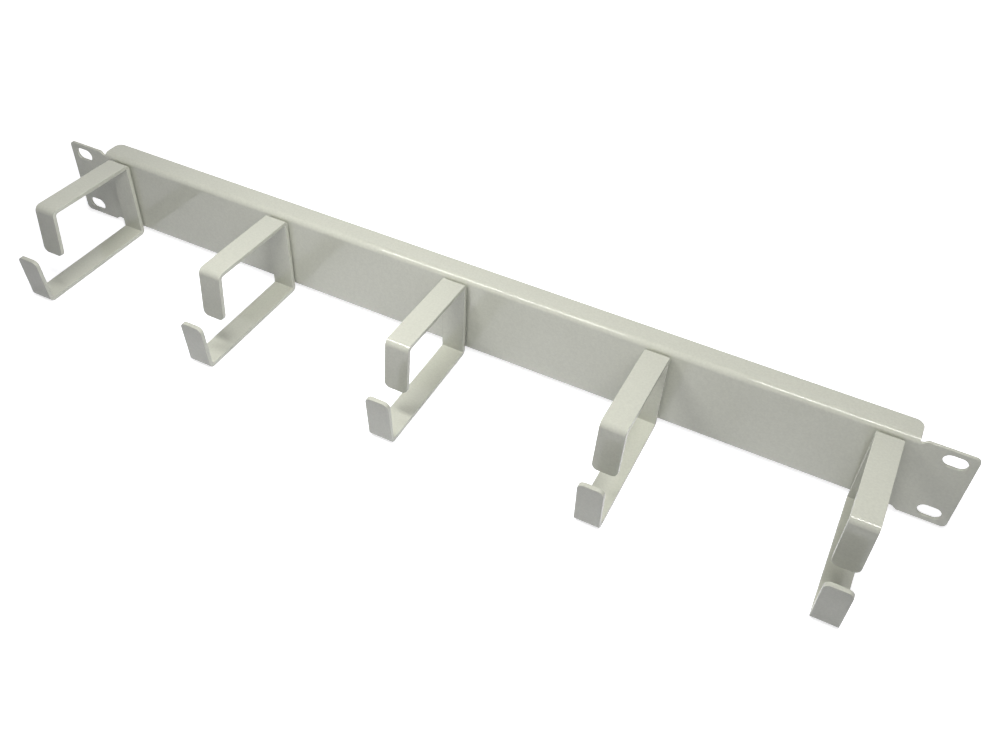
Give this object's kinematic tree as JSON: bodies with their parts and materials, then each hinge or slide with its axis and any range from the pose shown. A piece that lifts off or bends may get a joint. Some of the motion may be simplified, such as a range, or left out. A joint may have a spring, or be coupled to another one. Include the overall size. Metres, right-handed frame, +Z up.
{
  "type": "rack cable organizer",
  "caption": "Folded one-unit rack panel with a row of open bent-strip rings that hold and guide cables across the front of a rack.",
  "frame": {"origin": "centre of the four rack slots, on the rear face of the ears, which meets the rack's rails", "axes": "+X along the panel to the right as seen from the front, +Y back into the rack, +Z up; the rings stand out towards -Y"},
  "size_m": [0.4826, 0.0859, 0.0461],
  "materials": {
    "panel_coat": "light warm grey powder coat, satin, fine texture",
    "ring_coat": "light warm grey powder coat, satin, fine texture"
  },
  "bodies": {
    "root": {"rack_panel": "panel_coat", "cable_ring_1": "ring_coat", "cable_ring_2": "ring_coat", "cable_ring_3": "ring_coat", "cable_ring_4": "ring_coat", "cable_ring_5": "ring_coat"}
  },
  "joints": []
}
